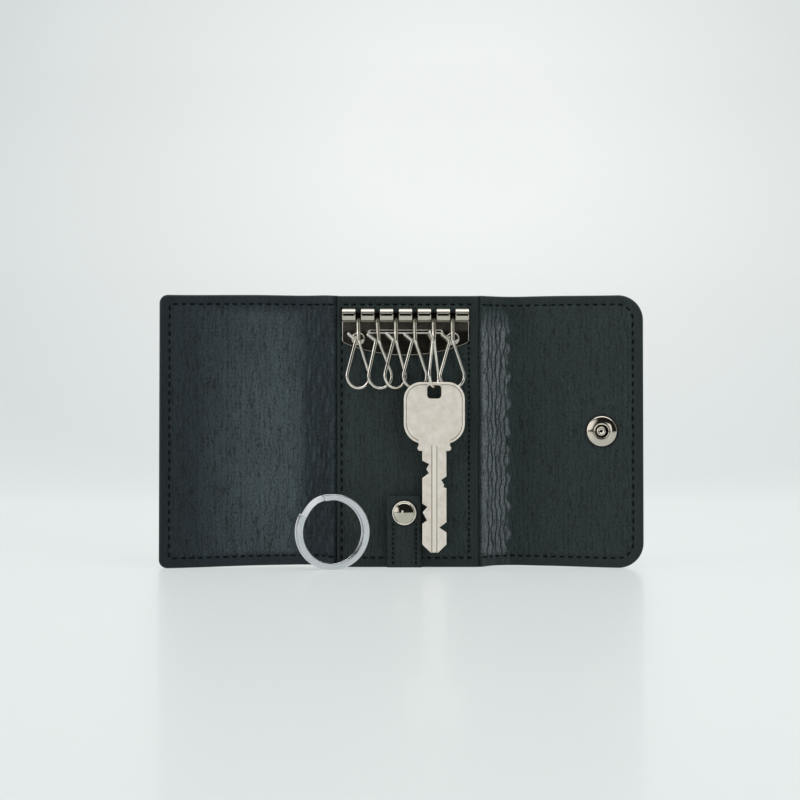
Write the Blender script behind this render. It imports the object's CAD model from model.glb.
import math

import bmesh
import bpy
import numpy as np
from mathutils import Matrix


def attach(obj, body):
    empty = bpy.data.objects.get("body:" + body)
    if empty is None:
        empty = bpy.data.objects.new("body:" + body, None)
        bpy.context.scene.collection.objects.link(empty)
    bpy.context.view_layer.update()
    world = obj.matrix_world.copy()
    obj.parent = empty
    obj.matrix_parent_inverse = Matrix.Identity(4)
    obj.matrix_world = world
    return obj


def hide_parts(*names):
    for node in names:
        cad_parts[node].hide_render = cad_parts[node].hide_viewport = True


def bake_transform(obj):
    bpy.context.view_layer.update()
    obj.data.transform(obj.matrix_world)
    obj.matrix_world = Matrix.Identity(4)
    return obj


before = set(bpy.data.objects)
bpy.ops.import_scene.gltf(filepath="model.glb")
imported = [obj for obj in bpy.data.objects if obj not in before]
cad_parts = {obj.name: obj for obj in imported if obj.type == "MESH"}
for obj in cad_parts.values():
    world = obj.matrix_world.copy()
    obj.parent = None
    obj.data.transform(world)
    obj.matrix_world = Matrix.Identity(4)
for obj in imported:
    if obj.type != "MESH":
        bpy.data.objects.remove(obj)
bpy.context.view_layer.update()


# The camera stands in front of the open case, at its middle height and tipped up a little, with a
# long lens, so that the two flaps draw nearer at their outer edges.
def stand(name, data):
    """A new object in the scene, at the origin."""
    thing = bpy.data.objects.new(name, data)
    bpy.context.scene.collection.objects.link(thing)
    return thing


eye = bpy.data.cameras.new("eye")
eye.lens, eye.sensor_width = 69.3, 36.0
eye.clip_start, eye.clip_end = 0.01, 20.0
camera = stand("eye", eye)
camera.location = (-0.00275, -0.5504, 0.0488)
camera.rotation_euler = (math.radians(91.116), 0, 0)
bpy.context.scene.camera = camera
bpy.context.scene.view_settings.view_transform = "Standard"


# The table is a matt pale sheet that runs up behind the case into the backdrop. It shows a faint
# reflection of what stands on it, and the room's light is even and white.
class Nodes:
    """Adds nodes to one tree. An input is a value or the output of another node."""

    def __init__(self, tree):
        self.tree = tree

    def put(self, node, inputs):
        """Sets or links some inputs of a node."""
        for key, value in inputs.items():
            if isinstance(value, bpy.types.NodeSocket):
                self.tree.links.new(value, node.inputs[key])
            else:
                node.inputs[key].default_value = value
        return node

    def add(self, kind, inputs=None, **settings):
        """A new shader node."""
        node = self.tree.nodes.new("ShaderNode" + kind)
        for key, value in settings.items():
            setattr(node, key, value)
        return self.put(node, inputs or {})

    def calc(self, kind, *values):
        """The result of a sum with numbers."""
        return self.add("Math", dict(enumerate(values)), operation=kind).outputs[0]

    def vector(self, kind, *values):
        """The result of a sum with vectors. SCALE takes a vector and a number."""
        keys = (0, "Scale") if kind == "SCALE" else (0, 1, 2)
        return self.add("VectorMath", dict(zip(keys, values)), operation=kind).outputs[0]

    def span(self, value, low, high, to_low=0.0, to_high=1.0, kind="LINEAR"):
        """A number brought from one range to another and held at its ends."""
        return self.add("MapRange", {"Value": value, "From Min": low, "From Max": high,
                                     "To Min": to_low, "To Max": to_high},
                        interpolation_type=kind).outputs[0]

    def mask(self, *edges):
        """1 where each (value, off, on) has its value past on, and 0 where one is not past off."""
        shown = self.span(*edges[0])
        for edge in edges[1:]:
            shown = self.calc("MULTIPLY", shown, self.span(*edge))
        return shown

    def mixed(self, factor, a, b):
        """A colour between two others."""
        return self.add("Mix", {"Factor": factor, "A": a, "B": b},
                        data_type="RGBA").outputs["Result"]

    def noise(self, place, scale, detail, **more):
        """The outputs of a soft noise."""
        return self.add("TexNoise", {"Vector": place, "Scale": scale, "Detail": detail,
                                     **more}).outputs

    def relief(self, height, distance, strength=1.0):
        """A normal bent by a height."""
        return self.add("Bump", {"Height": height, "Distance": distance,
                                 "Strength": strength}).outputs["Normal"]


def new_material(name):
    """A new material with its maker of nodes and its shader."""
    material = bpy.data.materials.new(name)
    material.use_nodes = True
    material.node_tree.nodes.clear()
    nodes = Nodes(material.node_tree)
    shader = nodes.add("BsdfPrincipled")
    nodes.add("OutputMaterial", {"Surface": shader.outputs["BSDF"]})
    return material, nodes, shader


def colour(text):
    """A screen colour such as 2b3234, as the linear values that a node wants."""
    part = np.array([int(text[i:i + 2], 16) for i in (0, 2, 4)]) / 255
    return (*np.where(part <= 0.04045, part / 12.92, ((part + 0.055) / 1.055) ** 2.4), 1.0)


def table_sheet():
    """A sheet that is flat to 0.5 m behind the case and then rises on a quarter circle of 0.5 m."""
    turn = np.linspace(0, math.pi / 2, 24)
    y = np.concatenate([[-3.0], 0.5 + 0.5 * np.sin(turn), [1.0]])
    z = np.concatenate([[0.0], 0.5 - 0.5 * np.cos(turn), [3.5]])
    points = np.stack([np.tile([-4.0, 4.0], len(y)), np.repeat(y, 2), np.repeat(z, 2)], 1)
    k = 2 * np.arange(len(y) - 1)
    mesh = bpy.data.meshes.new("table_sheet")
    mesh.from_pydata(points.tolist(), [], np.stack([k, k + 1, k + 3, k + 2], 1).tolist())
    mesh.shade_smooth()
    return mesh


table = stand("table_sheet", table_sheet())
paper, nodes, shader = new_material("table_paper")
place = nodes.add("TexCoord").outputs["Object"]
centred = nodes.add("Mapping", {"Vector": place, "Location": (-0.06, -1.0, -0.33)}).outputs[0]
away = nodes.add("VectorMath", {0: centred}, operation="LENGTH").outputs["Value"]
glow = nodes.span(away, 0.08, 0.52, 1.0, 0.0)
part = nodes.calc("MULTIPLY_ADD", nodes.noise(place, 2.0, 3.0)["Fac"], 0.12, glow)
tone = nodes.mixed(part, colour("d7dedd"), colour("f3f6f5"))
# Two thirds of what the camera and the metals see of it is its own tone, so that its shadows
# stay light
path = nodes.add("LightPath").outputs
seen = nodes.calc("MAXIMUM", path["Is Camera Ray"], path["Is Glossy Ray"])
lamp_share = nodes.span(seen, 0.0, 1.0, 1.0, 0.3)
own_share = nodes.calc("MULTIPLY", seen, 0.69)
nodes.put(shader, {"Base Color": nodes.vector("SCALE", tone, lamp_share),
                   "Emission Color": nodes.vector("SCALE", tone, own_share),
                   "Emission Strength": 1.0, "Roughness": 0.4, "Specular IOR Level": 0.15,
                   "Coat Weight": 0.12, "Coat Roughness": 0.07})
table.data.materials.append(paper)

# The room is bright above and at the sides, and dark where the photographer stands. A window on
# the left and a small pane beside the camera shine in, and every light's edge is a little uneven.
# Past the end of the paper the camera itself sees a plain pale wall.
room = bpy.data.worlds.new("room")
bpy.context.scene.world = room
room.use_nodes = True
room.node_tree.nodes.clear()
nodes = Nodes(room.node_tree)
looking = nodes.add("TexCoord").outputs["Generated"]
way = nodes.add("SeparateXYZ", {"Vector": looking}).outputs
height = nodes.calc("MULTIPLY_ADD", nodes.noise(looking, 9.0, 4.0)["Fac"], 0.16, way["Z"])
aside = nodes.mask((way["Y"], -0.74, -0.52))
above = nodes.mask((height, 0.84, 0.9))
window = nodes.mask((height, 0.1, 0.13), (height, 0.52, 0.46), (way["X"], -0.42, -0.56))
pane = nodes.mask((height, 0.05, 0.09), (height, 0.3, 0.26), (way["X"], -0.26, -0.21),
                  (way["X"], -0.06, -0.11), (way["Y"], -0.5, -0.6))
walls = nodes.mixed(nodes.calc("MAXIMUM", aside, above),
                    (0.03, 0.03, 0.028, 1), (0.96, 0.97, 0.97, 1))
shining = nodes.mixed(nodes.calc("MAXIMUM", window, pane), walls, (2.0, 2.0, 1.96, 1))
plain = nodes.mixed(nodes.add("LightPath").outputs["Is Camera Ray"], shining,
                    (1.18, 1.25, 1.24, 1))
back = nodes.add("Background", {"Color": plain, "Strength": 0.6}).outputs["Background"]
nodes.add("OutputWorld", {"Surface": back})

# Four flat studio lamps stand above the case, behind it and on both sides. The right-hand one
# lights the matt surfaces, but no metal mirrors it.
for name, at, aim, wide, high, watts in (
        ("top_box", (0.0, -0.35, 0.95), (0, 0, 0.04), 1.3, 0.7, 5.0),
        ("right_box", (0.72, -0.8, 0.42), (0, 0, 0.05), 0.5, 0.7, 5.5),
        ("left_box", (-1.0, -0.3, 0.4), (0, 0, 0.05), 0.5, 0.8, 1.8),
        ("back_box", (0.0, 0.3, 1.6), (0, 1.0, 0.4), 2.5, 0.8, 5.2)):
    lamp = bpy.data.lights.new(name, "AREA")
    lamp.shape, lamp.size, lamp.size_y, lamp.energy = "RECTANGLE", wide, high, watts
    holder = stand(name, lamp)
    holder.location = at
    x, y, z = np.array(aim) - np.array(at)
    holder.rotation_euler = (math.atan2(math.hypot(x, y), -z), 0, math.atan2(-x, y))
    holder.visible_glossy = name != "right_box"

# Each wing of the case is one strip of grained leather over its lining, from under the centre
# panel's lining out to the flap's turned edge. It is creased and worn where it folds, and stiff
# with a board in the flap. A row of black thread runs round it.
case_h = 96.7
fold_x, mid_y, tuck_x = 26.75, -0.7, 24.5
half_flap, half_fold = 1.25, 1.05
top_row, side_row, wing_pitch = 3.3, 3.5, 3.0
stud_run, stud_z = 26.0, case_h / 2
blend_z, fold_in, fold_out = 48.0, 0.0014, 0.0016
plain_tone = 0.66


def smooth_step(a, b, x):
    """0 below a, 1 above b, and s s (3 - 2 s) between, with s the share of the way."""
    s = np.clip((x - a) / (b - a), 0, 1)
    return s * s * (3 - 2 * s)


def run_of(line):
    """The distance run along a line, at each of its points."""
    return np.concatenate([[0], np.cumsum(np.linalg.norm(np.diff(line, axis=0), axis=1))])


def read_at(line, run, at):
    """The two coordinates of a line at some runs."""
    return np.stack([np.interp(at, run, line[:, k]) for k in (0, 1)], -1)


def soften(line, reach, width):
    """Smooths a line with a bell `width` points wide, all but `reach` points at its ends."""
    bell = np.exp(-0.5 * (np.arange(-reach, reach + 1) / width) ** 2)
    bell /= bell.sum()
    line[reach:-reach] = np.stack([np.convolve(line[:, k], bell, "valid") for k in (0, 1)], 1)


def directions(line):
    """The unit vector along a line at each of its points."""
    way = np.gradient(line, axis=0)
    return way / np.linalg.norm(way, axis=1)[:, None]


class Wing:
    """One wing: sizes from the drawing, and its middle line seen from above, as even steps.

    The fold is an arc `fold_w` wide that bows back by `bow` and turns forward by `rest` degrees.
    The flap goes on from it in a straight line `flap_l` long, `tilt` degrees forward.
    """

    def __init__(self, side, fold_w, bow, rest, tilt, flap_l, corner, lift, level):
        self.side, self.corner, self.lift, self.level = side, corner, lift, level
        r = (fold_w ** 2 / 4 + bow ** 2) / (2 * bow)
        lean = math.asin(fold_w / 2 / r)
        a = np.linspace(math.pi / 2 + lean, math.pi / 2 - lean, 120)
        arc = np.stack([fold_w / 2 + r * np.cos(a), bow - r + r * np.sin(a)], 1)
        turn = math.radians(rest)
        spin = np.array([[math.cos(turn), math.sin(turn)], [-math.sin(turn), math.cos(turn)]])
        arc = arc @ spin + [fold_x, mid_y]
        down = math.radians(tilt)
        self.flap_from = arc[-1]
        self.flap_way = np.array([math.cos(down), -math.sin(down)])
        end = self.flap_from + flap_l * self.flap_way
        spare, step = 3, 0.05
        line = np.concatenate([[[tuck_x - spare, mid_y]], arc, [end + spare * self.flap_way]])
        run = run_of(line)
        line = read_at(line, run, np.arange(0, run[-1], step))
        soften(line, 48, 16)
        cut = round(spare / step)
        self.line = line[cut:len(line) - cut]
        self.steps = run_of(self.line)
        self.length = self.steps[-1]
        way = directions(self.line)
        self.across = np.stack([-way[:, 1], way[:, 0]], 1)
        self.hinge = fold_x - tuck_x
        self.fold_end = self.length - flap_l
        self.middle = (self.hinge + self.fold_end) / 2

    def half(self, t):
        """Half the wing's thickness at run t."""
        flap = smooth_step(self.fold_end - 1, self.fold_end + 3, t)
        return half_fold + (half_flap - half_fold) * flap

    def place(self, t, z, v):
        """World points in mm at run t, height z and v behind the middle line.

        Near the fold the leather creeps up by `lift`, which fades out over the runs `level`.
        """
        x, y = (np.interp(t, self.steps, self.line[:, k]) for k in (0, 1))
        nx, ny = (np.interp(t, self.steps, self.across[:, k]) for k in (0, 1))
        rise = self.lift * smooth_step(-2, 8, t) * (1 - smooth_step(*self.level, t))
        return np.stack([self.side * (x + nx * v), y + ny * v, z + rise + 0 * x], -1)


left_wing = Wing(-1, fold_w=12.9, bow=1.4, rest=18.5, tilt=11.1, flap_l=49.8, corner=3.0,
                 lift=0.5, level=(26, 62))
right_wing = Wing(1, fold_w=17.6, bow=3.2, rest=13.5, tilt=13.4, flap_l=40.5, corner=9.0,
                  lift=0.2, level=(28, 52))


def edge_distance(wing, t, z):
    """Distance in from the outline: a rectangle whose two outer corners are rounded."""
    r = wing.corner
    dx = t - (wing.length - r)
    dz = np.abs(z - case_h / 2) - (case_h / 2 - r)
    outside = np.hypot(np.maximum(dx, 0), np.maximum(dz, 0))
    return r - outside - np.minimum(np.maximum(dx, dz), 0)


def turned_edge(d, depth, sharp=2.6):
    """Thickness share near an edge, on a blunt round: (1 - (1 - d/depth)^sharp)^(1/sharp)."""
    s = 1 - np.clip(d / depth, 0, 1)
    return np.maximum(1 - s ** sharp, 0) ** (1 / sharp)


def seam_path(points, pitch):
    """Even samples along a broken line, with the count of whole stitches run at each."""
    points = np.array(points, float)
    run = run_of(points)
    count = max(1, round(run[-1] / pitch))
    even = np.linspace(0, run[-1], count * 12 + 1)
    return read_at(points, run, even), even / run[-1] * count


def wing_seam(wing, pitch):
    """The thread's path on a wing: out along the top, round the corner, down, and back."""
    r = max(wing.corner - side_row, 1.2)
    far, high = wing.length - side_row, case_h - top_row
    a = np.linspace(0, math.pi / 2, 9)
    top = np.stack([far - r + r * np.sin(a), high - r + r * np.cos(a)], 1)
    bottom = np.stack([far - r + r * np.cos(a), side_row + r - r * np.sin(a)], 1)
    return seam_path([[1.2, high], *top.tolist(), *bottom.tolist(), [1.2, side_row]], pitch)


def seam_relief(t, z, seams):
    """Depth that thread pulls into leather: a groove under each stitch, a hole at its two ends,
    and swells beside it.

    With d the distance to the row, c the distance to the nearest stitch's middle along it, e the
    distance to that stitch's end and w = exp(-(c / 0.36 pitch)^6), the height is
    -0.16 w exp(-(d/0.5)^2) - 0.2 exp(-(d/0.36)^2 - (e/0.3)^2) + 0.08 w exp(-((d-1.1)/0.45)^2).
    """
    high = np.zeros(t.shape)
    for path, count in seams:
        pitch = run_of(path)[-1] / count[-1]
        near = np.abs(t - np.clip(t, path[:, 0].min() - 2, path[:, 0].max() + 2)) < 1
        flat = np.stack([t[near], z[near]], 1)
        gap = np.full(len(flat), 9.0)
        phase = np.zeros(len(flat))
        for start in range(0, len(path), 64):
            d = np.linalg.norm(flat[:, None] - path[None, start:start + 64], axis=2)
            k = d.argmin(1)
            best = d[np.arange(len(d)), k]
            phase = np.where(best < gap, count[start + k], phase)
            gap = np.minimum(gap, best)
        along = np.abs(phase - np.floor(phase) - 0.5)
        under = np.exp(-(along / 0.36) ** 6)
        end = np.abs(along - 0.34) * pitch
        high[near] += (-0.16 * under * np.exp(-(gap / 0.5) ** 2)
                       - 0.2 * np.exp(-(gap / 0.36) ** 2 - (end / 0.3) ** 2)
                       + 0.08 * under * np.exp(-((gap - 1.1) / 0.45) ** 2))
    return high


def crease_relief(t, z, first, spacing, count, sway, wave, width, seed):
    """Upright creases that sway and meet, so that they leave long lens-shaped swells.

    Crease k stands at first + k spacing + sway sin(2 pi z / wave_k + phase_k), with a second,
    shorter sway on it. The height is 1 - exp(-(distance to the nearest crease / width)^1.3).
    """
    rng = np.random.default_rng(seed)
    gap = np.full(t.shape, 9.0)
    for k in range(count):
        long = wave * rng.uniform(0.75, 1.3)
        p, q = rng.uniform(0, 2 * math.pi, 2)
        x = first + k * spacing + sway * (np.sin(2 * math.pi * z / long + p)
                                          + 0.45 * np.sin(5.3 * math.pi * z / long + q))
        gap = np.minimum(gap, np.abs(t - x))
    return 1 - np.exp(-(gap / width) ** 1.3)


def front_relief(wing, t, z, seams):
    """Height of the inside leather over its flat form, in mm, and its tone from 0 to 1.

    The right fold is gathered into broad ridges with narrow valleys, up to a scalloped line; the
    left one has short faint streaks. Under the top and bottom stitches both lie flat. Round the
    closing stud the leather is pressed in and dark: 0.6 exp(-((distance - 5.6) / 0.42)^2) less.
    """
    inner = 1 - smooth_step(case_h - 7.5, case_h - 4.0, z) * 0.85
    inner *= 1 - (1 - smooth_step(3.0, 6.0, z)) * 0.8
    start = smooth_step(wing.hinge - 1.5, wing.hinge + 0.6, t)
    if wing.side > 0:
        inner *= 1 - 0.7 * smooth_step(83, 90, z)
        edge = (12.7 + 0.6 * np.sin(2 * math.pi * z / 9.3)
                + 0.45 * np.sin(2 * math.pi * z / 5.2 + 1.1))
        deep = start * (1 - smooth_step(edge - 0.5, edge + 0.9, t)) * inner
        crease = crease_relief(t, z, first=3.9, spacing=2.0, count=5, sway=0.42,
                               wave=13, width=0.24, seed=4)
        cross = crease_relief(t, z, first=2.9, spacing=1.5, count=8, sway=0.4,
                              wave=6, width=0.16, seed=9)
        ring = np.exp(-((np.hypot(t - wing.fold_end - stud_run, z - stud_z) - 5.6) / 0.42) ** 2)
        high = deep * (0.3 * (crease - 0.9) + 0.06 * (cross - 0.9) + 0.12) - 0.12 * ring
        mark = (deep * (0.36 + 0.46 * crease + 0.13 * cross) + (1 - deep) * plain_tone
                - 0.6 * ring)
    else:
        deep = start * (1 - smooth_step(10.5, 15.5, t)) * inner
        soft = smooth_step(6, 20, t) * (1 - smooth_step(22, 60, t)) * inner
        crease = crease_relief(t, z, first=3.0, spacing=1.9, count=7, sway=0.5,
                               wave=15, width=0.5, seed=21)
        broken = 0.5 + 0.5 * np.sin(2 * math.pi * z / 12.7 + 2.1 * t) * np.sin(z / 4.1 - 0.8 * t)
        fine = crease_relief(t, z, first=9.0, spacing=2.3, count=22, sway=0.5,
                             wave=17, width=0.6, seed=5)
        high = deep * 0.13 * (crease - 0.75) * (0.4 + broken) + soft * 0.05 * (fine - 0.7)
        light = 0.24 * soft * (0.75 + 0.25 * np.cos((z - 34) / 26)) + 0.05 * soft * (fine - 0.75)
        shade = 0.16 * smooth_step(48, 62, t) * (1 - 0.5 * z / case_h)
        mark = (deep * (0.64 + 0.24 * (crease - 0.3) * broken)
                + (1 - deep) * (plain_tone + light - shade))
    return high + seam_relief(t, z, seams), mark


def closed_sheet(front, back, cap_first=False, cap_last=False):
    """Points and faces of two like grids that share their long borders, with a cap at cut ends.

    The grids are (columns, rows, 3). The first and last rows of both are one, and so are end
    columns without a cap.
    """
    index = np.arange(front[..., 0].size).reshape(front.shape[:2])
    behind = index + index.size
    behind[:, 0], behind[:, -1] = index[:, 0], index[:, -1]
    if not cap_first:
        behind[0] = index[0]
    if not cap_last:
        behind[-1] = index[-1]
    a = np.stack([index[:-1, :-1], index[1:, :-1], index[1:, 1:], index[:-1, 1:]], -1)
    b = np.stack([behind[:-1, :-1], behind[:-1, 1:], behind[1:, 1:], behind[1:, :-1]], -1)
    faces = [a.reshape(-1, 4), b.reshape(-1, 4)]
    if cap_first:
        faces.append(np.stack([index[0, :-1], index[0, 1:], behind[0, 1:], behind[0, :-1]], -1))
    if cap_last:
        faces.append(np.stack([index[-1, :-1], behind[-1, :-1], behind[-1, 1:], index[-1, 1:]],
                              -1))
    points = np.concatenate([front.reshape(-1, 3), back.reshape(-1, 3)])
    return points, np.concatenate(faces)


def outward(points, faces):
    """Faces in the order that makes the volume they enclose positive.

    The volume is a sixth of the sum of p0 . (p1 x p2 + p2 x p3) over all quads.
    """
    p = points[faces]
    volume = (p[:, 0] * (np.cross(p[:, 1], p[:, 2]) + np.cross(p[:, 2], p[:, 3]))).sum()
    return faces if volume > 0 else faces[:, ::-1]


def make_piece(name, material, points, faces, sharp=50, uv=None, values=None):
    """A mesh object from points in mm and quads, some of which may close to triangles."""
    faces = outward(points, faces)
    used, renumbered = np.unique(faces, return_inverse=True)
    faces = renumbered.reshape(faces.shape)
    triangle = (faces == np.roll(faces, -1, axis=1)).any(1)
    listed = faces[~triangle].tolist()
    for face in faces[triangle].tolist():
        kept = [v for k, v in enumerate(face) if v != face[k - 1]]
        if len(kept) > 2:
            listed.append(kept)
    mesh = bpy.data.meshes.new(name)
    mesh.from_pydata((points[used] * 0.001).tolist(), [], listed)
    if uv is not None:
        corner = np.zeros(len(mesh.loops), np.int32)
        mesh.loops.foreach_get("vertex_index", corner)
        layer = mesh.uv_layers.new(name="leather")
        layer.data.foreach_set("uv", (uv[used][corner] * 0.01).astype(np.float32).ravel())
    for key, value in (values or {}).items():
        attribute = mesh.attributes.new(key, "FLOAT", "POINT")
        attribute.data.foreach_set("value", value[used].astype(np.float32))
    mesh.materials.append(material)
    mesh.shade_smooth()
    mesh.set_sharp_from_angle(angle=math.radians(sharp))
    return stand(name, mesh)


def leather_piece(name, leather, front, back, flat, behind, mark, border, back_border=0.0,
                  **caps):
    """A closed piece of leather from the two grids of its faces.

    `flat` has the front's own flat coordinates in mm, and the back's lie `behind` away from them.
    The front has its tone and its smooth border; the back's tone is plain.
    """
    flat = flat.reshape(-1, 2)
    values = {"crease": np.concatenate([mark.ravel(), np.full(mark.size, plain_tone)]),
              "border": np.concatenate([border.ravel(), np.full(border.size, back_border)])}
    return make_piece(name, leather, *closed_sheet(front, back, **caps),
                      uv=np.concatenate([flat, flat + behind]), values=values)


def spread(low, high, step, fine, reach):
    """Steps from low to high that close up to `fine` within `reach` of both ends."""
    edge = np.concatenate([[0], reach * (np.linspace(0, 1, round(reach / fine) + 1)[1:] ** 1.5)])
    middle = np.linspace(low + reach, high - reach, round((high - low - 2 * reach) / step) + 1)
    return np.concatenate([low + edge[:-1], middle, (high - edge)[::-1][1:]])


case_rows = spread(0, case_h, 0.5, 0.16, 1.6)


def wing_piece(wing, name, leather, t_from, t_to, step, seams, capped_end):
    """Part of a wing between two runs, closed, with its relief and its edge's round.

    With d the distance in from the outline, each face keeps the share
    (1 - (1 - d/0.9)^2.6)^(1/2.6) of the half thickness. The front gets its relief over that, and
    the back is less by 0.06 sin(pi d / 6). Under the centre's lining the front is 0.85 mm thinner.
    """
    straight_to = t_to if capped_end else t_to - wing.corner
    t = np.linspace(t_from, straight_to, round((straight_to - t_from) / step) + 1)
    if not capped_end:
        a = np.linspace(0, math.pi / 2, 6 + round(wing.corner * 3))
        t = np.concatenate([t[:-1], straight_to + wing.corner * np.sin(a)])
    dx = np.maximum(t - (wing.length - wing.corner), 0)
    pull = wing.corner - np.sqrt(np.maximum(wing.corner ** 2 - dx ** 2, 0))
    row = case_rows / case_h
    z = pull[:, None] + row[None] * (case_h - 2 * pull[:, None])
    t = np.repeat(t[:, None], len(row), 1)
    d = edge_distance(wing, t, z)
    tuck = 1 - smooth_step(0.7, 2.0, t)
    round_in = turned_edge(d, 0.9)
    rise, mark = front_relief(wing, t, z, seams)
    front_v = -((wing.half(t) - 0.85 * tuck) * round_in + rise * smooth_step(0.3, 1.5, d))
    puff = 0.06 * np.sin(np.clip(d / 6, 0, 1) * math.pi)
    back_v = (wing.half(t) + 0.2 * tuck) * round_in - puff
    front_v[:, 0] = front_v[:, -1] = back_v[:, 0] = back_v[:, -1] = 0
    if not capped_end:
        front_v[-1] = back_v[-1] = 0
    flat = np.stack([wing.side * (tuck_x + t) + 100, z], -1)
    return leather_piece(name, leather, wing.place(t, z, front_v), wing.place(t, z, back_v), flat,
                         [0, 150], mark, 1 - smooth_step(2.6, 3.6, d), cap_first=True,
                         cap_last=capped_end)


def loop_faces(rings, turns):
    """Quads between neighbouring rings of points, each ring closed on itself."""
    index = np.arange(rings * turns).reshape(rings, turns)
    after = np.roll(index, -1, axis=1)
    return np.stack([index[:-1], after[:-1], after[1:], index[1:]], -1).reshape(-1, 4)


def thread_piece(name, place, seams, keep=np.isfinite, radius=0.3):
    """Stitches as short bent rods: between two holes the thread stands up, and dives at each.

    place(t, z, v) puts a point on the leather; along one stitch the height follows
    0.34 (1 - s^4) - 0.36 mm for s from -1 to 1, and the ring's radius closes to its ends.
    """
    rings, turns = 9, 8
    rod = loop_faces(rings, turns)
    ends = np.array([[3, 2, 1, 0], [7, 4, 3, 0], [7, 6, 5, 4]])
    rod = np.concatenate([rod, ends, ends[:, ::-1] + (rings - 1) * turns])
    points, faces, first = [], [], 0
    s = np.linspace(-1, 1, rings)
    a = np.arange(turns) * 2 * math.pi / turns
    for path, count in seams:
        at = np.arange(round(count[-1]))[:, None] + 0.5 + s[None] * 0.33
        c = read_at(path, count, at)
        c = c[keep(c[:, rings // 2, 0])]
        way = np.gradient(c, axis=1)
        way /= np.linalg.norm(way, axis=2)[..., None]
        swell = radius * np.sqrt(np.maximum(1 - np.abs(s) ** 3.2, 0.03))[:, None]
        lift = 0.34 * (1 - s ** 4) - 0.36
        t = c[:, :, None, 0] - way[:, :, None, 1] * (swell * np.cos(a))
        z = c[:, :, None, 1] + way[:, :, None, 0] * (swell * np.cos(a))
        v = -(lift[:, None] + swell * np.sin(a)) + 0 * t
        points.append(place(t, z, v).reshape(-1, 3))
        starts = first + np.arange(len(c)) * rings * turns
        faces.append((rod[None] + starts[:, None, None]).reshape(-1, 4))
        first += len(points[-1])
    return make_piece(name, thread_black, np.concatenate(points), np.concatenate(faces), sharp=70)


def node_group(name, inputs, outputs):
    """A new group of nodes for numbers, and for the vector Place, with its two ends."""
    group = bpy.data.node_groups.new(name, "ShaderNodeTree")
    for label in inputs:
        group.interface.new_socket(label, in_out="INPUT", socket_type="NodeSocketFloat")
    group.interface.new_socket("Place", in_out="INPUT", socket_type="NodeSocketVector")
    for label in outputs:
        group.interface.new_socket(label, in_out="OUTPUT", socket_type="NodeSocketFloat")
    return (group, Nodes(group), group.nodes.new("NodeGroupInput").outputs,
            group.nodes.new("NodeGroupOutput"))


# Group: pebbled leather grain, as a height and a mask, from the piece's own flat coordinates
grain, nodes, given, gives = node_group("leather_grain", ("Stretch", "Size", "Flatten"),
                                        ("Height", "Patch"))
squeeze = nodes.add("CombineXYZ", {"X": 1.0, "Y": given["Stretch"], "Z": 1.0}).outputs[0]
flat = nodes.vector("MULTIPLY", given["Place"], squeeze)
shift = nodes.vector("MULTIPLY", nodes.noise(flat, 70.0, 3.0)["Color"], (0.009, 0.005, 0.0))
warped = nodes.vector("ADD", flat, shift)
pebble = nodes.vector("MULTIPLY", warped, (1.0, 2.2, 1.0))
cells = nodes.add("TexVoronoi", {"Vector": pebble, "Scale": given["Size"]},
                  feature="DISTANCE_TO_EDGE", voronoi_dimensions="2D").outputs["Distance"]
swell = nodes.span(cells, 0.0, 0.34, kind="SMOOTHSTEP")
# Two sets of broken upright creases cross each other
crossed = 1.0
for share, phase in ((0.165, 0.0), (0.128, 40.0)):
    aslant = nodes.vector("MULTIPLY_ADD", flat, (1.0, 1.2, 1.0), (phase,) * 3)
    upright = nodes.add("TexWave", {"Vector": aslant, "Distortion": 9.0, "Detail": 2.5,
                                    "Scale": nodes.calc("MULTIPLY", given["Size"], share),
                                    "Detail Scale": 2.6, "Detail Roughness": 0.6},
                        bands_direction="X").outputs["Fac"]
    valley = nodes.span(upright, 0.0, 0.2, 1.0, 0.0, "SMOOTHSTEP")
    broken = nodes.span(nodes.noise(aslant, 50.0, 2.0)["Fac"], 0.36, 0.62, 0.12)
    left_over = nodes.calc("SUBTRACT", 1.0, nodes.calc("MULTIPLY", valley, broken))
    crossed = nodes.calc("MULTIPLY", crossed, left_over)
fine = nodes.noise(warped, 190.0, 4.0, Roughness=0.65)["Fac"]
mixed = nodes.calc("MULTIPLY_ADD", fine, 1.9, nodes.calc("MULTIPLY", swell, 0.5))
lined = nodes.calc("MULTIPLY_ADD", crossed, 0.72, mixed)
kept = nodes.calc("MULTIPLY", lined, nodes.calc("SUBTRACT", 1.0, given["Flatten"]))
nodes.put(gives, {"Height": nodes.calc("MULTIPLY_ADD", given["Flatten"], 1.35, kept),
                  "Patch": nodes.noise(flat, 22.0, 4.0)["Fac"]})
grain_low, grain_high = 0.8, 2.15


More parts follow.
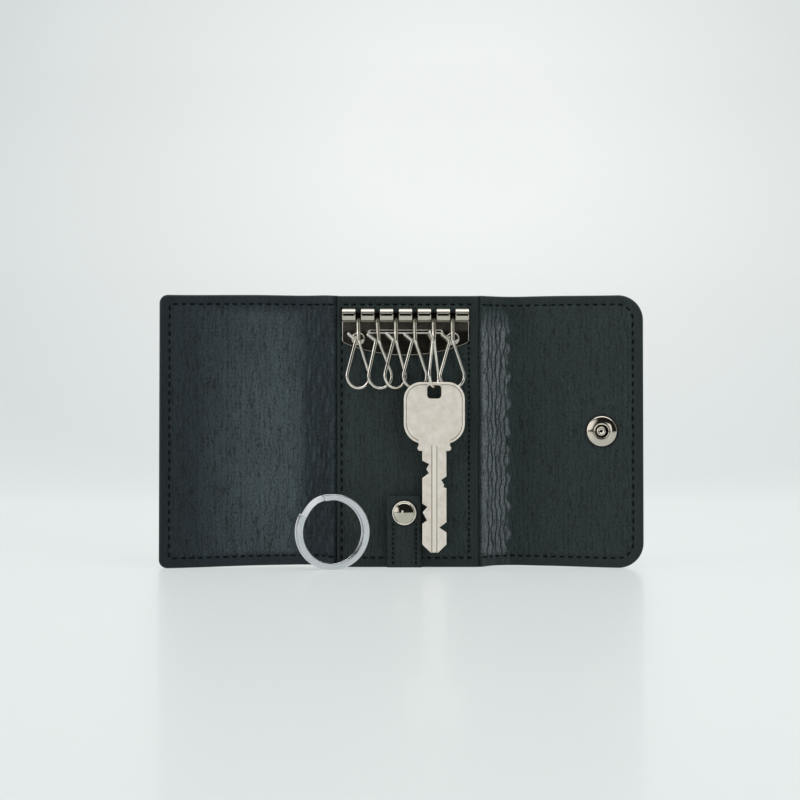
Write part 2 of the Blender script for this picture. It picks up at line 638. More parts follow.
def leather_material(name, deep, plain, light, stretch, size, bump, rough):
    """Grained leather: dark in creases, paler on worn swells, smoother outside the stitches."""
    material, nodes, shader = new_material(name)
    border = nodes.add("Attribute", attribute_name="border").outputs["Fac"]
    crease = nodes.add("Attribute", attribute_name="crease").outputs["Fac"]
    skin = nodes.add("Group", {"Place": nodes.add("UVMap", uv_map="leather").outputs["UV"],
                               "Flatten": nodes.calc("MULTIPLY", border, 0.7),
                               "Stretch": stretch, "Size": size}, node_tree=grain).outputs
    ramp = nodes.add("ValToRGB", {"Fac": crease})
    knots = ramp.color_ramp.elements
    knots[0].position, knots[0].color = 0.12, colour(deep)
    knots[1].position, knots[1].color = 0.98, colour(light)
    knots.new(plain_tone).color = colour(plain)
    worn = nodes.calc("MULTIPLY", nodes.span(skin["Height"], grain_low, grain_high, 0.2, 1.85),
                      nodes.span(skin["Patch"], 0.3, 0.7, 0.86, 1.14))
    nodes.put(shader, {"Base Color": nodes.vector("SCALE", ramp.outputs["Color"], worn),
                       "Roughness": nodes.span(skin["Height"], grain_low, grain_high,
                                               rough + 0.16, rough - 0.08),
                       "Normal": nodes.relief(skin["Height"], bump),
                       "Specular IOR Level": 0.32})
    return material


left_leather = leather_material("left_leather", "090f11", "141f24", "3b4549",
                                stretch=0.27, size=112.0, bump=0.00026, rough=0.5)
right_leather = leather_material("right_leather", "090e0f", "172222", "505659",
                                 stretch=0.27, size=118.0, bump=0.00022, rough=0.5)
thread_black, nodes, shader = new_material("thread_black")
twist = nodes.add("TexWave", {"Vector": nodes.add("TexCoord").outputs["Object"],
                              "Scale": 2600.0, "Distortion": 1.0},
                  bands_direction="DIAGONAL").outputs["Fac"]
nodes.put(shader, {"Base Color": nodes.mixed(twist, colour("020303"), colour("090c0e")),
                   "Normal": nodes.relief(twist, 0.00003), "Roughness": 0.85,
                   "Specular IOR Level": 0.15})

for wing, side, leather in ((left_wing, "left", left_leather),
                            (right_wing, "right", right_leather)):
    seams = [wing_seam(wing, wing_pitch)]
    fold_at = wing.place(np.array(wing.hinge), blend_z, 0.0) * 0.001
    flap_at = wing.place(np.array(wing.fold_end), blend_z, 0.0) * 0.001
    way = np.array([wing.side * wing.flap_way[0], wing.flap_way[1], 0]) * 0.001
    inner = wing_piece(wing, f"{side}_fold_leather", leather, 0.0, wing.middle, step=0.22,
                       seams=seams, capped_end=True)
    outer = wing_piece(wing, f"{side}_flap_leather", leather, wing.middle, wing.length, step=0.42,
                       seams=seams, capped_end=False)
    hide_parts(f"{side}_fold_cover", f"{side}_fold_lining")
    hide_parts(f"{side}_flap_cover", f"{side}_flap_lining")
    on_front = lambda t, z, v: wing.place(t, z, v - wing.half(t))
    inner_thread = thread_piece(f"{side}_fold_thread", on_front, seams, lambda t: t < wing.middle)
    outer_thread = thread_piece(f"{side}_flap_thread", on_front, seams, lambda t: t >= wing.middle)
    for piece in (inner, inner_thread):
        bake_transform(piece)
    for piece in (outer, outer_thread):
        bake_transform(piece)


# The back of the centre panel is the same leather as the wings, in one flat run with them. It
# carries the board and the lining, and shows only from behind and at the top and bottom edges.
def flat_piece(name, leather, x_at, z_at, front_y, back_y, middle_y, depth,
               relief=lambda x, z: 0 * x, seams=(), square_sides=False):
    """A flat piece on a grid, whose two faces meet on y = middle_y at its outline.

    With d the distance in from the outline, each face keeps the share
    (1 - (1 - d/depth)^2.6)^(1/2.6) of its distance from middle_y.
    """
    x, z = np.meshgrid(x_at, z_at, indexing="ij")
    d = np.minimum(z - z[0, 0], z[0, -1] - z)
    if not square_sides:
        d = np.minimum(d, np.minimum(x - x[0, 0], x[-1, 0] - x))
    share = turned_edge(d, depth)
    rise = (seam_relief(x, z, seams) + relief(x, z)) * smooth_step(0.2, 1.2, d)
    front = middle_y + (front_y - middle_y) * share - rise
    back = middle_y + (back_y - middle_y) * share
    return leather_piece(name, leather, np.stack([x, front, z], -1), np.stack([x, back, z], -1),
                         np.stack([x + 100, z], -1), [0, 150], np.full(x.size, plain_tone),
                         1 - smooth_step(2.4, 3.2, d), cap_first=square_sides,
                         cap_last=square_sides)


centre_back = flat_piece("centre_back_leather", left_leather, np.linspace(-tuck_x, tuck_x, 60),
                         case_rows, front_y=mid_y - 0.2, back_y=mid_y + half_flap, middle_y=mid_y,
                         depth=0.9, square_sides=True)
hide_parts("centre_cover")
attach(centre_back, "centre")

# The centre's lining is a panel of the same leather with turned edges, laid over the roots of
# both wings and sewn down along all four sides. The seam on the right has shorter stitches.
lining_half, lining_y, lining_back, lining_edge = 25.1, -1.95, -0.95, -1.35


def centre_relief(x, z):
    """Faint upright wrinkles: 0.06 mm (creases - 0.8), but 0.35 of that away from x 16..24.5."""
    fine = crease_relief(x, z, first=-24.0, spacing=1.6, count=31, sway=0.5,
                         wave=16, width=0.25, seed=12)
    weight = 0.35 + 0.65 * smooth_step(16, 19, x) * (1 - smooth_step(23, 24.5, x))
    return 0.06 * (fine - 0.8) * weight


centre_seams = [seam_path([(-23.5, 2.2), (-23.5, 93.5)], 3.0),
                seam_path([(-23.5, 93.6), (23.4, 93.6)], 2.9),
                seam_path([(21.8, 2.6), (21.8, 92.6)], 1.95),
                seam_path([(-22.4, 3.4), (23.4, 3.4)], 2.9)]
centre_leather = leather_material("centre_leather", "080e0e", "182322", "20302e",
                                  stretch=0.24, size=140.0, bump=0.00016, rough=0.52)
centre_lining = flat_piece("centre_lining_leather", centre_leather,
                           spread(-lining_half, lining_half, 0.3, 0.1, 1.0),
                           spread(0.2, case_h - 0.2, 0.45, 0.12, 1.0), front_y=lining_y,
                           back_y=lining_back, middle_y=lining_edge, depth=0.55,
                           relief=centre_relief, seams=centre_seams)
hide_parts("centre_lining")
centre_thread = thread_piece("centre_thread", lambda t, z, v: np.stack([t, lining_y + v, z], -1),
                             centre_seams)
for piece in (centre_lining, centre_thread):
    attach(piece, "centre")

# The hook plate is one pressed sheet of black-nickelled steel: an arched lower edge, a raised rib
# across it, and seven tabs rolled forward into barrels that hold the rod.
plate_x, plate_half, plate_top, plate_y = -0.8, 22.535, 89.8, -2.3
rib_half, rib_z = 12.55, 83.85
rod_y, rod_z, barrel_r, barrel_half, hook_pitch = -4.27, 89.7, 2.3, 2.435, 6.7


def plate_sheet():
    """The sheet's two faces: y = -2.65 less the rib, and y = -1.95, closed on the outline.

    Below, the outline is a circle's arc through both corners (z 79.9) and the middle (z 75.3).
    The rib stands 0.3 mm proud within 0.36 mm of its middle line and slopes to 0 at 0.78 mm.
    """
    dip, corner_z, ruled_z = 4.6, 79.9, 82.7
    r = (plate_half ** 2 + dip ** 2) / 2 / dip
    x = spread(plate_x - plate_half, plate_x + plate_half, 0.35, 0.08, 0.7)
    u = x - plate_x
    low = corner_z + (r - dip) - np.sqrt(r * r - u * u)
    low += 1.0 - np.sqrt(np.maximum(1 - np.clip(np.abs(u) - (plate_half - 1), 0, 1) ** 2, 0))
    lower = np.concatenate([[0, 0.008, 0.016, 0.03, 0.05], np.linspace(0.08, 1, 14)])
    upper = np.concatenate([np.arange(82.8, 84.95, 0.06), np.linspace(85.0, plate_top - 0.3, 14),
                            [plate_top - 0.15, plate_top - 0.05, plate_top]])
    z = np.concatenate([low[:, None] + lower * (ruled_z - low[:, None]),
                        np.tile(upper, (len(x), 1))], 1)
    x = np.tile(x[:, None], (1, z.shape[1]))
    d = np.minimum(np.minimum(z - low[:, None], plate_top - z), plate_half - np.abs(x - plate_x))
    body = turned_edge(np.maximum(d, 0), 0.22, 2.0)
    off = np.hypot(np.maximum(np.abs(x - plate_x) - rib_half, 0), z - rib_z)
    rib = 0.3 * (0.8 * (1 - np.clip((off - 0.36) / 0.42, 0, 1))
                 + 0.2 * (1 - smooth_step(0.3, 0.84, off)))
    return closed_sheet(np.stack([x, plate_y - 0.35 * body - rib, z], -1),
                        np.stack([x, plate_y + 0.35 * body, z], -1))


def rolled_barrel(middle):
    """A barrel about the rod: a profile (x, r) turned through angle a, less its slot.

    The slot is where the front's height r sin a lies in -0.62..0.26 and |x| < 2.05; there the
    radius is 1.3 mm less. The sheet's end laps over it: 0.2 mm lower at 23 degrees than at 16.
    Below the rod it is squarer: r / (|cos a|^n + |sin a|^n)^(1/n), with n from 2 up to 3.3.
    """
    end = barrel_half
    half = [(end - 0.45, 0), (end - 0.45, 1.4), (end - 0.05, 1.5), (end, 1.62), (end, 2.02),
            (end - 0.05, 2.17), (end - 0.14, 2.26), (end - 0.28, 2.3), (2.1, 2.3), (2.05, 2.3),
            (2.0, 2.3), (1.4, 2.3), (0.5, 2.3)]
    profile = np.array([(-x, r) for x, r in half] + half[::-1])
    cut = np.degrees(np.arcsin(np.array([-0.62, 0.26]) / barrel_r))
    turned_up = np.unique(np.concatenate([
        np.arange(-180, 180, 5.0), cut, cut + (-0.6, 0.6), cut + (0.5, -0.5),
        cut[0] - (1.5, 3, 5), cut[1] + (1.5, 3, 5), np.arange(15.5, 26.2, 0.75)]))
    x, turned_up = np.meshgrid(profile[:, 0], turned_up, indexing="ij")
    angle = np.radians(turned_up)
    r = np.repeat(profile[:, 1][:, None], x.shape[1], 1)
    lap = (smooth_step(15.5, 22.5, turned_up) * (1 - smooth_step(23.5, 25.5, turned_up))
           * (r > 2.0))
    lip = np.minimum(np.abs(turned_up - cut[0]), np.abs(turned_up - cut[1]))
    r = r - np.where(np.abs(x) < 2.08, 0.16 * (1 - np.clip(lip / 5, 0, 1)) ** 2, 0)
    inside = (np.abs(x) < 2.04) & (turned_up > cut[0] + 0.2) & (turned_up < cut[1] - 0.2)
    r = np.where(inside, r - 1.3, r) - 0.2 * lap
    n = 2 + 1.3 * smooth_step(-20, -50, turned_up)
    r = r / (np.abs(np.cos(angle)) ** n + np.abs(np.sin(angle)) ** n) ** (1 / n)
    points = np.stack([middle + x, rod_y - r * np.cos(angle), rod_z + r * np.sin(angle)], -1)
    return points.reshape(-1, 3), loop_faces(*x.shape)


def joined(shells):
    """Several closed shells as one list of points and faces, each turned outward by itself."""
    starts = np.cumsum([0] + [len(p) for p, _ in shells[:-1]])
    faces = np.concatenate([outward(p, f) + k for (p, f), k in zip(shells, starts)])
    return np.concatenate([p for p, _ in shells]), faces


def face_spots(piece, origin=(0, 0, 0)):
    """The x, y and z of the middles of a piece's faces, in mm from an origin."""
    spot = np.zeros(3 * len(piece.data.polygons), np.float32)
    piece.data.polygons.foreach_get("center", spot)
    return (spot.reshape(-1, 3) * 1000 - origin).T


def repaint(piece, material, chosen):
    """Gives the chosen faces of a piece a second material."""
    piece.data.materials.append(material)
    piece.data.polygons.foreach_set("material_index", chosen.astype(np.int32))


# Group: fine hairlines and smudges that handling leaves on plated metal
wear, nodes, given, gives = node_group("plate_wear", ("Scale", "Amount", "Base"),
                                       ("Rough", "Line", "Stain"))
wide = nodes.vector("SCALE", given["Place"], given["Scale"])
smudge = nodes.noise(wide, 1.0, 4.0)["Fac"]
lines = nodes.noise(nodes.vector("MULTIPLY", wide, (3.0, 3.0, 60.0)), 1.0, 2.0)["Fac"]
rough = nodes.calc("MULTIPLY_ADD", nodes.span(smudge, 0.35, 0.75), given["Amount"], given["Base"])
nodes.put(gives, {"Rough": rough, "Line": lines, "Stain": smudge})


def metal_material(name, tone, stain, rough, amount, scale, bump, metallic=1.0):
    """Plated or bare metal: its colour drifts to a stain, and hairlines and smudges dull it."""
    material, nodes, shader = new_material(name)
    worn = nodes.add("Group", {"Place": nodes.add("TexCoord").outputs["Object"], "Scale": scale,
                               "Amount": amount, "Base": rough}, node_tree=wear).outputs
    nodes.put(shader, {"Base Color": nodes.mixed(worn["Stain"], colour(tone), colour(stain)),
                       "Roughness": worn["Rough"], "Metallic": metallic,
                       "Normal": nodes.relief(worn["Line"], bump, 0.6)})
    return material


def more_nodes(material):
    """Of a finished material: a maker of nodes, its shader, and its X, Y and Z."""
    nodes = Nodes(material.node_tree)
    spot = nodes.add("TexCoord").outputs["Object"]
    return (nodes, material.node_tree.nodes["Principled BSDF"],
            nodes.add("SeparateXYZ", {"Vector": spot}).outputs)


black_nickel = metal_material("black_nickel", "9a958c", "837e75", rough=0.07,
                              amount=0.06, scale=300.0, bump=1.5e-6)
bright_nickel = metal_material("bright_nickel", "d3cdc0", "c0baad", rough=0.07,
                               amount=0.08, scale=320.0, bump=1.5e-6)
rubbed_nickel = metal_material("rubbed_nickel", "f6f2ea", "dcd7cc", rough=0.3,
                               amount=0.1, scale=320.0, bump=2e-6, metallic=0.35)
slot_black = metal_material("slot_black", "0a0a0a", "050505", rough=0.7,
                            amount=0.1, scale=300.0, bump=2e-6)
# Above its rib the plate is rubbed to a dull brown, so there it is a little less of a mirror
nodes, shader, axes = more_nodes(black_nickel)
nodes.put(shader, {"Metallic": nodes.span(axes["Z"], 0.0836, 0.0846, 1.0, 0.87)})
sheet_plate = make_piece("hook_plate_sheet", black_nickel, *plate_sheet(), sharp=35)
# The shoulders of the rib and the two side edges are rubbed bright
x, y, z = face_spots(sheet_plate, (plate_x, plate_y, rib_z))
off = np.hypot(np.maximum(np.abs(x) - rib_half, 0), z)
shoulder, side_edge = (off > 0.36) & (off < 0.64), np.abs(x) > plate_half - 0.16
repaint(sheet_plate, rubbed_nickel, (shoulder | side_edge) & (y < 0))
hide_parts("hook_plate")
barrels = make_piece("hook_plate_barrels", bright_nickel,
                     *joined([rolled_barrel(plate_x + hook_pitch * k) for k in range(-3, 4)]),
                     sharp=28)
# The slot's floor and the shadow under the lap are black
x, y, z = face_spots(barrels, (0, rod_y, rod_z))
deep, lap = np.hypot(y, z), np.degrees(np.arctan2(z, -y))
repaint(barrels, slot_black, (deep < 1.9) & (y < -0.7) | (deep > 2) & (lap > 21.6) & (lap < 25.9))
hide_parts("hook_plate")
for piece in (sheet_plate, barrels):
    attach(piece, "centre")


# Two domed rivets of bright nickel hold the plate. Their tails spread over washers behind the
# lining, where the boards and washers of steel and card are hidden in the leather.
def turned(profile, at, axis, turns=72):
    """A profile (r, h) turned about an axis: the points at + h axis + r (e1 cos a + e2 sin a)."""
    axis = np.array(axis, float) / np.linalg.norm(axis)
    e1 = np.cross(axis, [0, 0, 1.0])
    e1 /= np.linalg.norm(e1)
    e2 = np.cross(axis, e1)
    a = np.arange(turns) * 2 * math.pi / turns
    r, h = np.array(profile, float).T
    ring = np.cos(a)[:, None] * e1 + np.sin(a)[:, None] * e2
    points = np.array(at, float) + h[:, None, None] * axis + r[:, None, None] * ring[None]
    return points.reshape(-1, 3), loop_faces(len(r), turns)


rivet_nickel = metal_material("rivet_nickel", "cbc5ba", "b3ada2", rough=0.06,
                              amount=0.06, scale=300.0, bump=1e-6)
rivet_profile = [(0, -0.02), (1.2, -0.02), (2.3, -0.02), (2.42, 0.02), (2.45, 0.1), (2.42, 0.18),
                 (2.33, 0.28), (2.2, 0.38), (2.05, 0.48), (1.88, 0.57), (1.68, 0.64), (1.45, 0.69),
                 (1.1, 0.72), (0.7, 0.735), (0.3, 0.74), (0, 0.74)]
rivet_off, rivet_y, rivet_z = 16.8, plate_y - 0.35, 81.35
for label, x in (("rivet_left", plate_x - rivet_off), ("rivet_right", plate_x + rivet_off)):
    rivet = make_piece(f"{label}_head", rivet_nickel,
                       *turned(rivet_profile, (x, rivet_y, rivet_z), (0, -1, 0)), sharp=60)
    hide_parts(label)
    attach(rivet, "centre")


# The rod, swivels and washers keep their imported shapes. Each swivel hangs on the rod in the gap
# between two barrels, as a ring with a boss that holds a hook's ball.
def source_of(shader, label):
    """What is linked to one input of a shader."""
    return shader.inputs[label].links[0].from_socket


dark_steel = metal_material("dark_steel", "5d5a56", "4a4744", rough=0.28,
                            amount=0.14, scale=300.0, bump=2e-6)
swivel_nickel = metal_material("swivel_nickel", "b5b0a4", "a19c90", rough=0.1,
                               amount=0.1, scale=300.0, bump=2e-6)
# A swivel is black with oil round the rod, and clean on the boss below it
nodes, shader, axes = more_nodes(swivel_nickel)
oiled = nodes.span(axes["Z"], 0.0881, 0.0886)
nodes.put(shader, {"Base Color": nodes.mixed(oiled, source_of(shader, "Base Color"),
                                             colour("0c0b0a"))})
grey_card, nodes, shader = new_material("grey_card")
pulp = nodes.noise(nodes.add("TexCoord").outputs["Object"], 900.0, 4.0)["Fac"]
nodes.put(shader, {"Base Color": nodes.mixed(pulp, colour("6f6a61"), colour("8d877c")),
                   "Normal": nodes.relief(pulp, 0.00004), "Roughness": 0.85})

# Six hooks of bright nickelled wire hang from the swivels by a ball. Each goes down in a thick
# stem, turns round a wide loop, comes up again and crosses out to a short finger.
hook_turn = (25, 18, 33, 16, 67, 9)
hook_roll = (0, -2.8, 0.8, 0, 0, 0.4)
hook_lean = (1.49, 0.21, 2.87, 0, 7.14, 0)
ball_r, neck_r, stem_r, wire_r = 0.49, 0.32, 0.72, 0.57
loop_r, loop_middle, hook_top = 4.3, np.array([0, -21.8]), -1.36


def hook_line():
    """The wire's middle line in the hook's own plane: stem, tangent, arc about (0, -21.8), tangent
    up to the bend and the finger, sampled each 0.1 mm and smoothed with a bell of 0.35 mm."""
    def touch(point, sign):
        to = np.array(point) - loop_middle
        return math.atan2(to[1], to[0]) + sign * math.acos(loop_r / math.hypot(*to))

    split, bend, tip = (0.144, -9.3), (-0.95, -9.2), (-4.2, -6.6)
    a = np.linspace(touch(split, -1), touch(bend, 1) - 2 * math.pi, 90)
    arc = loop_middle + loop_r * np.stack([np.cos(a), np.sin(a)], 1)
    line = np.concatenate([[(0, hook_top), (0.02, -2.55), split], arc, [bend, tip]])
    run = run_of(line)
    even = np.linspace(0, run[-1], round(run[-1] / 0.1))
    line = read_at(line, run, even)
    soften(line, 12, 3.5)
    return line, even


def hook_wire(k):
    """A round section carried along the hook's line. The radius is the ball's, the neck's, the
    stem's and then the wire's, and closes as a half circle at the finger's tip."""
    line, run = hook_line()
    down = hook_top - run
    ball = np.sqrt(np.maximum(ball_r ** 2 - (down + 1.85) ** 2, 0))
    stem = stem_r * smooth_step(2.35, 2.75, -down) ** 0.5
    stem = np.where(run > 5, stem_r + (wire_r - stem_r) * smooth_step(7.6, 9.6, run), stem)
    r = np.maximum(np.maximum(ball, neck_r * (run > 0.35)), stem)
    left = run[-1] - run
    r = np.where(left < wire_r, np.sqrt(np.maximum(wire_r ** 2 - (wire_r - left) ** 2, 0)), r)
    r[0] = 0
    last = len(run) - 8
    thin = np.unique(np.concatenate([np.arange(0, 20), np.arange(20, last, 2),
                                     np.arange(last, len(run))]))
    line, r = line[thin], r[thin, None]
    way = directions(line)
    a = np.arange(16) * 2 * math.pi / 16
    u = line[:, :1] - way[:, 1:] * r * np.cos(a)
    w = line[:, 1:] + way[:, :1] * r * np.cos(a)
    v = r * np.sin(a)
    turn, roll, lean = (math.radians(q[k]) for q in (hook_turn, hook_roll, hook_lean))
    x, y = u * math.cos(turn) - v * math.sin(turn), u * math.sin(turn) + v * math.cos(turn)
    x, z = x * math.cos(roll) + w * math.sin(roll), w * math.cos(roll) - x * math.sin(roll)
    y, z = y * math.cos(lean) + z * math.sin(lean), z * math.cos(lean) - y * math.sin(lean)
    points = np.stack([plate_x + (k - 2.5) * hook_pitch + x, rod_y + y, rod_z + z], -1)
    return points.reshape(-1, 3), loop_faces(len(r), 16)


hook_nickel = metal_material("hook_nickel", "e8e3da", "d8d3c9", rough=0.07,
                             amount=0.06, scale=320.0, bump=2e-6)
# The stems are duller and greyer than the loops below them
nodes, shader, axes = more_nodes(hook_nickel)
stem = nodes.span(axes["Z"], 0.0834, 0.0842)
nodes.put(shader, {"Base Color": nodes.mixed(stem, source_of(shader, "Base Color"),
                                             colour("c2beb1")),
                   "Roughness": nodes.calc("MULTIPLY_ADD", stem, 0.16,
                                           source_of(shader, "Roughness"))})
for k in range(6):
    hook = make_piece(f"hook_{k + 1}_wire", hook_nickel, *hook_wire(k))
    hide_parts(f"hook_{k + 1}")
    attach(hook, f"hook_{k + 1}")

# The key is cut from nickel silver: a round-cornered bow with a sunk rim line and a bevelled hole,
# a collar and a grooved blade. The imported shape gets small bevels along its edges.
key_x, key_y, key_half_t, groove_top = 9.35, -7.13, 1.0, 43.3
key_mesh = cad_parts["key"].data.copy()
merged = bmesh.new()
merged.from_mesh(key_mesh)
bmesh.ops.remove_doubles(merged, verts=merged.verts, dist=2e-6)
bmesh.ops.dissolve_limit(merged, angle_limit=math.radians(0.6), verts=merged.verts,
                         edges=merged.edges)
soft_edge = merged.edges.layers.float.new("bevel_weight_edge")
for edge in merged.edges:
    # Where a flat side meets a wall taller than 0.5 mm, the bevel has its full width
    walls = [face for face in edge.link_faces if abs(face.normal.y) < 0.5]
    tall = [max(v.co.y for v in face.verts) - min(v.co.y for v in face.verts) for face in walls]
    edge[soft_edge] = 1.0 if len(walls) == 1 and tall[0] > 0.0005 else 0.25
    # The lower edge of the hole gets a smaller bevel
    x, y, z = (edge.verts[0].co + edge.verts[1].co) * 500
    if abs(x - key_x) < 2.4 and 56.5 < z < 63:
        edge[soft_edge] *= 0.4
for face in merged.faces:
    # The floor of the sunk rim line is dirty
    sunk = key_half_t - abs(face.calc_center_median().y * 1000 - key_y)
    face.material_index = int(abs(face.normal.y) > 0.9 and 0.06 < sunk < 0.2)
key_mesh.materials.clear()
merged.to_mesh(key_mesh)
merged.free()
key_mesh.shade_smooth()
key_mesh.set_sharp_from_angle(angle=math.radians(28))
key = stand("key_blade_and_bow", key_mesh)
bevels = key.modifiers.new("small_bevels", "BEVEL")
bevels.width, bevels.segments, bevels.limit_method = 0.00026, 3, "WEIGHT"
bevels.use_clamp_overlap = False
key_silver = metal_material("key_silver", "fff8f0", "d3c8b8", rough=0.36,
                            amount=0.14, scale=420.0, bump=6e-6, metallic=0.45)
key_grime = metal_material("key_grime", "7f786c", "5f5950", rough=0.5,
                           amount=0.14, scale=420.0, bump=6e-6)
# The middle of the blade's groove is rubbed bright, between brown dirt and a thin dark line
nodes, shader, axes = more_nodes(key_silver)
off = nodes.calc("SUBTRACT", axes["X"], key_x * 0.001)
blade = nodes.mask((axes["Z"], groove_top * 0.001, groove_top * 0.001 - 0.0002))
shown = source_of(shader, "Base Color")
for side_in, side_out, tone in (((-0.00074, -0.00064), (0.00074, 0.00064), "f2eadf"),
                                ((-0.00115, -0.001), (-0.00070, -0.00078), "a08f78"),
                                ((0.00072, 0.00086), (0.00104, 0.00094), "686158")):
    strip = nodes.calc("MULTIPLY", nodes.mask((off, *side_in), (off, *side_out)), blade)
    shown = nodes.mixed(strip, shown, colour(tone))
nodes.put(shader, {"Base Color": shown})
key.data.materials.append(key_silver)
key.data.materials.append(key_grime)
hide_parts("key")
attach(key, "key")

# The strap is one leather strip, sewn down at its foot and bent forward over the lining. Two rows
# of stitches run up to a snap whose cap shows in front.
strap_x, strap_half_w, strap_top, strap_half = -1.25, 6.1, 25.4, 0.6
snap_at, snap_run = (strap_x, -4.65, 19.4), 19.6


def strap_line():
    """The strip's middle line seen from the side, smoothed, as (y, z) each 0.05 mm."""
    line = np.array([(-2.55, 0.0), (-2.55, 3.4), (-2.84, 4.7), (-4.05, 11.5), (-4.05, strap_top)])
    run = run_of(line)
    even = np.arange(0, run[-1], 0.05)
    line = read_at(line, run, even)
    soften(line, 40, 14)
    return even, line


def strap_place(x, s, v):
    """World points on the strip at width x, run s and v behind its middle."""
    even, line = strap_line()
    way = directions(line)
    y, z, wy, wz = (np.interp(s, even, q) for q in (line[:, 0], line[:, 1], way[:, 0], way[:, 1]))
    return np.stack([x + 0 * y, y + wz * v, z - wy * v], -1)


def strap_piece(seams):
    """The strip as a closed grid over (x, run), its edges rounded and its top corners too. It is
    darker in a ring 4.5 mm from the snap's middle."""
    length = strap_line()[0][-1]
    x, s = np.meshgrid(spread(-1, 1, 0.05, 0.014, 0.14), spread(0, length, 0.35, 0.1, 1.0),
                       indexing="ij")
    corner = np.clip(s - (length - 1), 0, 1)
    half = strap_half_w - (1 - np.sqrt(1 - corner ** 2))
    d = np.minimum(np.minimum(s, length - s), half * (1 - np.abs(x)) + 0 * s)
    x = strap_x + x * half
    share = turned_edge(d, 0.5)
    rise = seam_relief(x, s, seams) * smooth_step(0.2, 0.8, d)
    ring = np.exp(-((np.hypot(x - strap_x, s - snap_run) - 4.5) / 0.4) ** 2)
    return leather_piece("strap_leather", centre_leather,
                         strap_place(x, s, -strap_half * share - rise),
                         strap_place(x, s, strap_half * share), np.stack([x + 40, s], -1),
                         [20, 0], plain_tone - 0.6 * ring, np.full(x.size, 0.4), 0.4)


strap_seams = [seam_path([(x, 0.9), (x, 16.4)], 1.72) for x in (-5.2, 2.95)]
strap = strap_piece(strap_seams)
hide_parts("strap", "strap_foot")
strap_thread = thread_piece("strap_thread", lambda t, z, v: strap_place(t, z, v - strap_half),
                            strap_seams, radius=0.24)
for piece in (strap, strap_thread):
    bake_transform(piece)


def cap_profile():
    """A rolled rim, a fine groove and a crown whose height falls with the square of the radius."""
    a = np.radians(np.arange(-90, 151, 20))
    rim = [(3.97 + 0.28 * math.cos(k), 0.25 + 0.28 * math.sin(k)) for k in a]
    crown = [(3.6 * (1 - s), 0.44 + 0.81 * (1 - (1 - s) ** 2)) for s in np.linspace(0, 1, 15)]
    return [(0, -0.03), (2, -0.03), *rim, (3.66, 0.36), *crown]


cap_nickel = metal_material("cap_nickel", "d0cbbc", "bcb7a8", rough=0.05,
                            amount=0.06, scale=330.0, bump=1.5e-6)
cap = make_piece("strap_snap_cap", cap_nickel, *turned(cap_profile(), snap_at, (0, -1, 0), 96),
                 sharp=60)
x, y, z = face_spots(cap, snap_at)
repaint(cap, rubbed_nickel, np.hypot(x, z) > 3.86)
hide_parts("strap_cap")
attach(cap, "strap")

# The closing snap is pressed from nickelled brass. Its stud stands inside the right flap, domed
# round a ring groove and a dimpled nub; its socket is on the left flap's outside.
stud_out = np.array([-right_wing.flap_way[1], right_wing.flap_way[0]])
stud_at = right_wing.flap_from + stud_run * right_wing.flap_way - half_flap * stud_out
stud_profile = [(0, -0.02), (4.4, -0.02), (5.1, 0.0), (5.3, 0.08), (5.35, 0.2), (5.28, 0.33),
                (5.05, 0.45), (4.6, 0.58), (4.0, 0.69), (3.4, 0.77), (2.9, 0.8), (2.55, 0.78),
                (2.35, 0.68), (2.25, 0.5), (2.2, 0.38), (1.95, 0.36), (1.72, 0.38), (1.62, 0.5),
                (1.6, 0.8), (1.62, 1.5), (1.6, 1.75), (1.5, 1.9), (1.32, 1.98), (1.1, 2.0),
                (0.9, 1.98), (0.76, 1.88), (0.55, 1.72), (0.3, 1.63), (0, 1.6)]
snap_nickel = metal_material("snap_nickel", "d8d0c4", "c4bbae", rough=0.05,
                             amount=0.05, scale=320.0, bump=1.5e-6)
stud = make_piece("closing_stud_face", snap_nickel,
                  *turned(stud_profile, (*stud_at, stud_z), (*-stud_out, 0), 96), sharp=60)
# The groove round the nub and the dimple in it are black
x, y, z = face_spots(stud, (*stud_at, stud_z))
out = -(x * stud_out[0] + y * stud_out[1])
apart = np.sqrt(np.maximum(x ** 2 + y ** 2 + z ** 2 - out ** 2, 0))
groove, dimple = (apart > 1.6) & (apart < 2.1) & (out < 0.7), apart < 0.5
repaint(stud, slot_black, (groove | dimple) & (out > 0.1))
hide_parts("closing_stud")
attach(stud, "right_flap")

# The split ring is flat steel wire wound almost twice round, so that its two turns lie on each
# other and step over between. It stands on the table in front of the left fold.
ring_at = np.array([-26.45, -11.75, 13.2])


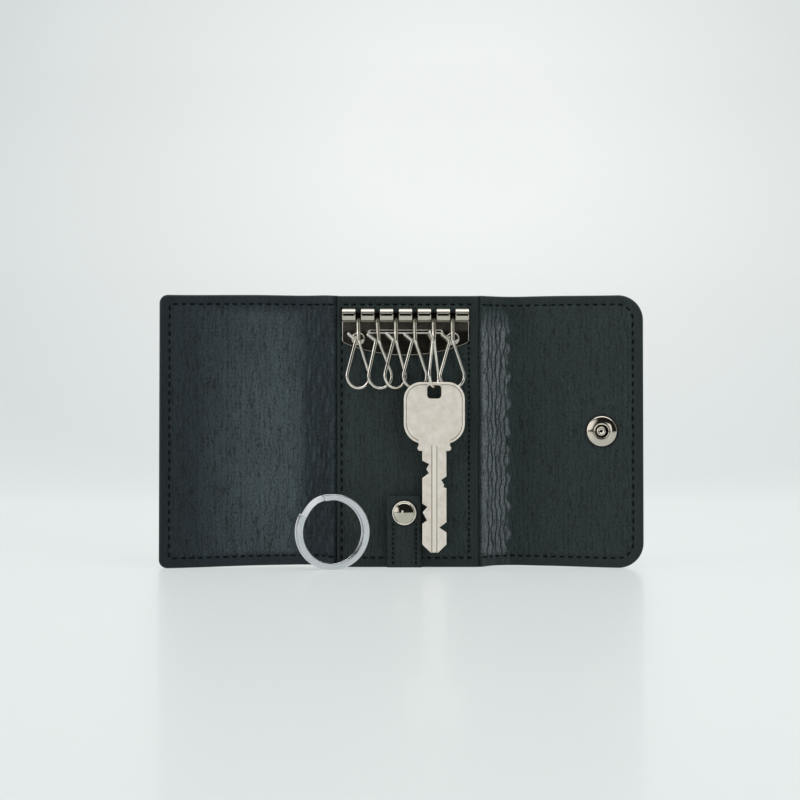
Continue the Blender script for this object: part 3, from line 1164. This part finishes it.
def split_ring():
    """A flat section with rounded corners, carried round 675 degrees. At angle a the middle line is
    at radius 12.15 and at y = 1.5 (smoothstep(a) - 0.5), and it steps over in 315..360 degrees.
    The ring is 0.978 as wide as it is high, and the wire at y stands 0.4 y to the left."""
    middle, half_w, half_t, round_by = 12.15, 1.05, 0.525, 0.2
    step = np.linspace(0, 45, 361)
    a = np.radians(105 - 15 * step)
    y = 1.5 * (smooth_step(21, 24, step) - 0.5)
    corners = []
    for sx, sy, turn in ((1, 1, 0), (-1, 1, 90), (-1, -1, 180), (1, -1, 270)):
        k = np.radians(turn + np.array([0, 30, 60, 90]))
        arc = round_by * np.stack([np.cos(k), np.sin(k)], 1)
        before = arc[0] + 0.12 * np.array([math.sin(k[0]), -math.cos(k[0])])
        after = arc[-1] + 0.12 * np.array([-math.sin(k[-1]), math.cos(k[-1])])
        corners.append(np.array([sx * (half_w - round_by), sy * (half_t - round_by)])
                       + np.concatenate([[before], arc, [after]]))
    section = np.concatenate(corners)
    end = np.minimum(step, 45 - step) * math.radians(15) * middle
    shrink = np.sqrt(np.clip(1 - (1 - np.clip(end / 0.3, 0, 1)) ** 2, 0, 1))[:, None]
    radial = middle + section[None, :, 0] * (0.8 + 0.2 * shrink)
    along = y[:, None] + section[None, :, 1] * (0.5 + 0.5 * shrink)
    across = 0.978 * radial * np.cos(a)[:, None] - 0.4 * y[:, None]
    turn = math.radians(15)
    points = np.stack([across * math.cos(turn) - along * math.sin(turn),
                       across * math.sin(turn) + along * math.cos(turn),
                       radial * np.sin(a)[:, None]], -1)
    ends = points[[0, -1]].mean(1, keepdims=True).repeat(points.shape[1], 1)
    points = np.concatenate([ends[:1], points, ends[1:]]) + ring_at
    return points.reshape(-1, 3), loop_faces(*points.shape[:2])


ring_steel = metal_material("ring_steel", "e4e6ea", "d6d8dc", rough=0.07,
                            amount=0.05, scale=320.0, bump=4e-7)
ring = make_piece("split_ring_wire", ring_steel, *split_ring(), sharp=40)
# Where the wire steps over, it is rubbed dull
ring_bend = metal_material("ring_bend", "e4e6ea", "d6d8dc", rough=0.3,
                           amount=0.1, scale=320.0, bump=4e-7, metallic=0.35)
x, y, z = face_spots(ring, ring_at)
repaint(ring, ring_bend, abs(np.degrees(np.arctan2(z, x)) - 127.5) < 22)
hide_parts("split_ring")
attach(ring, "ring")

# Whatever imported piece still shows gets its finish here: card for the boards and steel for the
# rod, the swivels, the washers and the far halves of the snaps.
for label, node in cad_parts.items():
    if not node.hide_render:
        finish = (grey_card if label.endswith("board") else slot_black if label == "hook_rod"
                  else swivel_nickel if label.startswith("swivel") else dark_steel)
        for holder in node.material_slots:
            holder.material = finish
